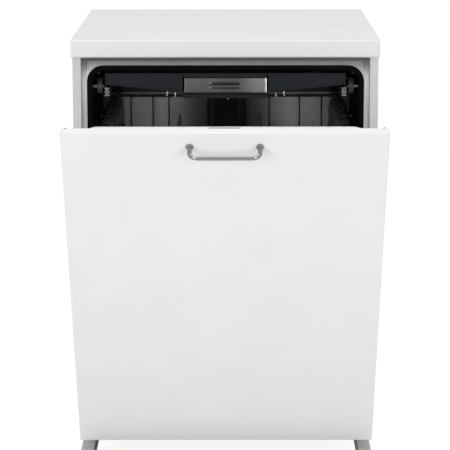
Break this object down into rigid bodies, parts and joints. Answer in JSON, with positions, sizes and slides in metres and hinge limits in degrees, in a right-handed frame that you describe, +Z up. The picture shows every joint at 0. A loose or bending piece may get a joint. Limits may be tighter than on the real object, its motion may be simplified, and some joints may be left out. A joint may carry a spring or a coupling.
{
  "type": "dishwasher",
  "caption": "Built-in dishwasher with a white furniture front ajar, steel tub, sliding cutlery tray and wire racks, spray arms, bow handle and a white worktop",
  "frame": {"origin": "floor level under the middle of the machine's footprint with the door ajar", "axes": "X to the right as seen from the front, Y from the door to the back, Z up"},
  "size_m": [0.598, 0.9494, 0.915],
  "materials": {
    "white_laminate": "satin white laminate",
    "white_foil": "smooth white foil",
    "coated_sheet": "satin light grey",
    "dark_sheet": "dull grey",
    "stainless": "brushed",
    "galvanised": "dull zinc",
    "seal_rubber": "matt black",
    "spring_steel": "oiled",
    "chrome_handle": "polished",
    "rail_steel": "bright",
    "grey_plastic": "moulded grey",
    "dark_plastic": "moulded black",
    "slate_plastic": "fine grained slate",
    "coated_wire": "nylon coated dark",
    "white_plastic": "moulded white",
    "light_plastic": "moulded pale grey",
    "button_plastic": "satin grey",
    "blue_plastic": "moulded blue",
    "heater_steel": "drawn tube"
  },
  "bodies": {
    "cabinet": {"worktop": "white_laminate", "side_panel_left": "coated_sheet", "side_panel_right": "coated_sheet", "back_panel": "coated_sheet", "cross_rails": "dark_sheet", "tub_wrap": "stainless", "tub_rear_wall": "stainless", "tub_floor": "stainless", "door_gasket": "seal_rubber", "base_frame": "galvanised", "levelling_feet": "dark_plastic", "drip_tray": "light_plastic", "sump_housing": "dark_plastic", "fine_filter": "stainless", "circulation_pump": "grey_plastic", "drain_pump": "grey_plastic", "flow_heater": "heater_steel", "water_softener": "white_plastic", "inlet_valve": "white_plastic", "air_gap_chamber": "white_plastic", "spray_feed": "dark_plastic", "hinge_brackets": "galvanised", "door_springs": "spring_steel", "rack_guides": "rail_steel"},
    "door": {"front_panel": "white_foil", "door_handle": "chrome_handle", "mounting_plate": "galvanised", "panel_buffers": "seal_rubber", "door_pan": "galvanised", "door_liner": "stainless", "control_fascia": "white_plastic", "hinge_arms": "galvanised", "dispenser_housing": "grey_plastic", "door_lock": "dark_plastic"},
    "dispenser_lid": {"dispenser_lid": "light_plastic"},
    "rinse_cap": {"rinse_cap": "blue_plastic"},
    "power_button": {"power_button": "button_plastic"},
    "program_button": {"program_button": "button_plastic"},
    "options_button": {"options_button": "button_plastic"},
    "start_button": {"start_button": "button_plastic"},
    "cutlery_tray": {"tray_frame": "slate_plastic", "tray_grid": "slate_plastic", "tray_handle": "stainless"},
    "upper_rack": {"upper_basket": "coated_wire", "upper_rack_rails": "rail_steel", "upper_feed_duct": "grey_plastic"},
    "cup_shelf_left": {"cup_shelf_left": "slate_plastic"},
    "cup_shelf_right": {"cup_shelf_right": "slate_plastic"},
    "tine_row_left": {"tine_row_left": "coated_wire"},
    "tine_row_right": {"tine_row_right": "coated_wire"},
    "upper_spray_arm": {"upper_spray_arm": "grey_plastic"},
    "lower_rack": {"lower_basket": "coated_wire"},
    "lower_tine_row": {"lower_tine_row": "coated_wire"},
    "lower_wheels_front": {"lower_wheels_front": "grey_plastic"},
    "lower_wheels_rear": {"lower_wheels_rear": "grey_plastic"},
    "lower_spray_arm": {"lower_spray_arm": "grey_plastic"},
    "ceiling_spray_arm": {"ceiling_spray_arm": "grey_plastic"},
    "coarse_filter": {"coarse_filter": "light_plastic"},
    "salt_cap": {"salt_cap": "white_plastic"},
    "guide_rollers": {"guide_rollers": "grey_plastic"}
  },
  "joints": [
    {"name": "door_hinge", "type": "hinge", "parent": "cabinet", "child": "door", "pos_m": [0, -0.12325, 0.25], "axis": [1, 0, 0], "range_deg": [-29.4, 60.6], "deforming": ["door_springs"]},
    {"name": "dispenser_lid_slide", "type": "slide", "parent": "door", "child": "dispenser_lid", "axis": [0, -0.4909, 0.8712], "range_m": [0, 0.06]},
    {"name": "rinse_cap_turn", "type": "hinge", "parent": "door", "child": "rinse_cap", "pos_m": [0.042, -0.23644, 0.52828], "axis": [0, 0.8712, 0.4909], "range_deg": [0, 90]},
    {"name": "power_press", "type": "slide", "parent": "door", "child": "power_button", "axis": [0, 0.4909, -0.8712], "range_m": [0, 0.0016], "stiffness_N_per_m": 400},
    {"name": "program_press", "type": "slide", "parent": "door", "child": "program_button", "axis": [0, 0.4909, -0.8712], "range_m": [0, 0.0016], "stiffness_N_per_m": 400},
    {"name": "options_press", "type": "slide", "parent": "door", "child": "options_button", "axis": [0, 0.4909, -0.8712], "range_m": [0, 0.0016], "stiffness_N_per_m": 400},
    {"name": "start_press", "type": "slide", "parent": "door", "child": "start_button", "axis": [0, 0.4909, -0.8712], "range_m": [0, 0.0016], "stiffness_N_per_m": 400},
    {"name": "cutlery_tray_slide", "type": "slide", "parent": "cabinet", "child": "cutlery_tray", "axis": [0, -1, 0], "range_m": [0, 0.4]},
    {"name": "upper_rack_slide", "type": "slide", "parent": "cabinet", "child": "upper_rack", "axis": [0, -1, 0], "range_m": [0, 0.18]},
    {"name": "lower_rack_slide", "type": "slide", "parent": "cabinet", "child": "lower_rack", "axis": [0, -1, 0], "range_m": [0, 0.03]},
    {"name": "cup_shelf_left_fold", "type": "hinge", "parent": "upper_rack", "child": "cup_shelf_left", "pos_m": [-0.22035, 0.16275, 0.677], "axis": [0, -1, 0], "range_deg": [0, 78]},
    {"name": "cup_shelf_right_fold", "type": "hinge", "parent": "upper_rack", "child": "cup_shelf_right", "pos_m": [0.22035, 0.16275, 0.677], "axis": [0, 1, 0], "range_deg": [0, 78]},
    {"name": "tine_row_left_fold", "type": "hinge", "parent": "upper_rack", "child": "tine_row_left", "pos_m": [-0.084, 0.16275, 0.6107], "axis": [0, 1, 0], "range_deg": [0, 60]},
    {"name": "tine_row_right_fold", "type": "hinge", "parent": "upper_rack", "child": "tine_row_right", "pos_m": [0.05488, 0.16275, 0.6107], "axis": [0, -1, 0], "range_deg": [0, 60]},
    {"name": "upper_spray_arm_spin", "type": "hinge", "parent": "upper_rack", "child": "upper_spray_arm", "pos_m": [0, 0.16275, 0.579], "axis": [0, 0, 1], "continuous": true},
    {"name": "lower_tine_row_fold", "type": "hinge", "parent": "lower_rack", "child": "lower_tine_row", "pos_m": [0, 0.15675, 0.30245], "axis": [-1, 0, 0], "range_deg": [0, 75]},
    {"name": "lower_wheels_front_spin", "type": "hinge", "parent": "lower_rack", "child": "lower_wheels_front", "pos_m": [0, -0.00325, 0.2791], "axis": [1, 0, 0], "continuous": true},
    {"name": "lower_wheels_rear_spin", "type": "hinge", "parent": "lower_rack", "child": "lower_wheels_rear", "pos_m": [0, 0.29375, 0.2791], "axis": [1, 0, 0], "continuous": true},
    {"name": "lower_spray_arm_spin", "type": "hinge", "parent": "cabinet", "child": "lower_spray_arm", "pos_m": [0, 0.16275, 0.265], "axis": [0, 0, 1], "continuous": true},
    {"name": "ceiling_spray_arm_spin", "type": "hinge", "parent": "cabinet", "child": "ceiling_spray_arm", "pos_m": [0, 0.16275, 0.847], "axis": [0, 0, 1], "continuous": true},
    {"name": "coarse_filter_turn", "type": "hinge", "parent": "cabinet", "child": "coarse_filter", "pos_m": [0.085, 0.16275, 0.2], "axis": [0, 0, 1], "range_deg": [0, 60]},
    {"name": "salt_cap_turn", "type": "hinge", "parent": "cabinet", "child": "salt_cap", "pos_m": [-0.15, 0.26675, 0.24], "axis": [0, 0, 1], "range_deg": [0, 180]},
    {"name": "guide_rollers_spin", "type": "hinge", "parent": "cabinet", "child": "guide_rollers", "pos_m": [0, -0.06525, 0.813], "axis": [1, 0, 0], "continuous": true}
  ]
}
